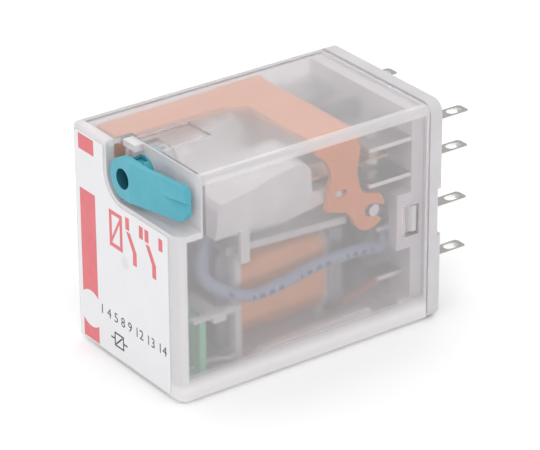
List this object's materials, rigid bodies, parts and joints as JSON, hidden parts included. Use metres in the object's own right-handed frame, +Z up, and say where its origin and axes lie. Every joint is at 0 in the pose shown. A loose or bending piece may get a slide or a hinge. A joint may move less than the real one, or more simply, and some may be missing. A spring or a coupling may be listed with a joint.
{
  "type": "plug-in relay",
  "caption": "Plug-in power relay with a frosted clear cover, flat plug blades, a coil with armature and contacts inside, a flag rocker and a fold-out test lever.",
  "frame": {"origin": "under the middle of the whole relay as it lies on its side, at the lowest plane of its base flange", "axes": "+X from the label face towards the tips of the plug blades, +Y from the test lever's tip side to the flag side, across the two poles, +Z up"},
  "size_m": [0.0426, 0.0212, 0.0275],
  "materials": {
    "cover_polycarbonate": "milky, slightly frosted clear",
    "label_film": "satin printed film",
    "base_plastic": "satin",
    "tinned_brass": "tin plated",
    "silver_alloy": "bright",
    "spring_bronze": "bright",
    "lead_insulation": "matt",
    "enamelled_wire": "gloss enamel",
    "board_wire": "gloss",
    "bobbin_plastic": "satin",
    "magnet_steel": "zinc plated",
    "plated_steel": "zinc plated",
    "carrier_plastic": "satin",
    "spring_steel": "bright",
    "rocker_plastic": "satin",
    "axle_steel": "bright",
    "barrier_plastic": "satin",
    "circuit_board": "solder resist",
    "led_resin": "clear",
    "resistor_body": "banded",
    "diode_body": "gloss",
    "lever_plastic": "satin"
  },
  "bodies": {
    "housing": {"cover": "cover_polycarbonate", "label": "label_film", "base": "base_plastic", "nc_terminal_a": "tinned_brass", "nc_terminal_b": "tinned_brass", "no_terminal_a": "tinned_brass", "no_terminal_b": "tinned_brass", "com_terminal_a": "tinned_brass", "com_terminal_b": "tinned_brass", "coil_terminal_a": "tinned_brass", "coil_terminal_b": "tinned_brass", "nc_contact_a": "silver_alloy", "nc_contact_b": "silver_alloy", "no_contact_a": "silver_alloy", "no_contact_b": "silver_alloy", "com_lead_a": "lead_insulation", "com_lead_b": "lead_insulation", "coil_lead_a": "enamelled_wire", "coil_lead_b": "enamelled_wire", "winding": "enamelled_wire", "board_lead_a": "board_wire", "board_lead_b": "board_wire", "bobbin": "bobbin_plastic", "core": "magnet_steel", "yoke": "magnet_steel", "pole_plate": "magnet_steel", "return_spring": "spring_steel", "rocker_axle": "axle_steel", "contact_barrier": "barrier_plastic", "led_board": "circuit_board", "led": "led_resin", "resistor": "resistor_body", "diode": "diode_body"},
    "armature_set": {"armature": "plated_steel", "contact_carrier": "carrier_plastic", "moving_spring_a": "spring_bronze", "moving_spring_b": "spring_bronze", "moving_contact_a": "silver_alloy", "moving_contact_b": "silver_alloy"},
    "flag_rocker": {"rocker": "rocker_plastic"},
    "plunger": {"test_plunger": "lever_plastic"},
    "lever": {"test_lever": "lever_plastic"}
  },
  "joints": [
    {"name": "armature_rock", "type": "hinge", "parent": "housing", "child": "armature_set", "pos_m": [-0.01265, 0, 0.0158], "axis": [0, 1, 0], "range_deg": [0, 1.7], "stiffness_Nm_per_rad": 0.02, "springref_deg": -5.73, "deforming": ["return_spring"]},
    {"name": "rocker_tilt", "type": "hinge", "parent": "housing", "child": "flag_rocker", "pos_m": [0.00585, 0, 0.01615], "axis": [0, 1, 0], "range_deg": [-4.8, 0]},
    {"name": "plunger_press", "type": "slide", "parent": "housing", "child": "plunger", "axis": [1, 0, 0], "range_m": [0, 0.0006], "stiffness_N_per_m": 300, "springref_m": -0.001},
    {"name": "lever_turn", "type": "hinge", "parent": "plunger", "child": "lever", "pos_m": [-0.02025, 0.0004, 0.0238], "axis": [-1, 0, 0], "range_deg": [0, 90]}
  ],
  "couplings": [
    {"joint": "rocker_tilt", "follows": "armature_rock", "ratio": -2.8}
  ]
}
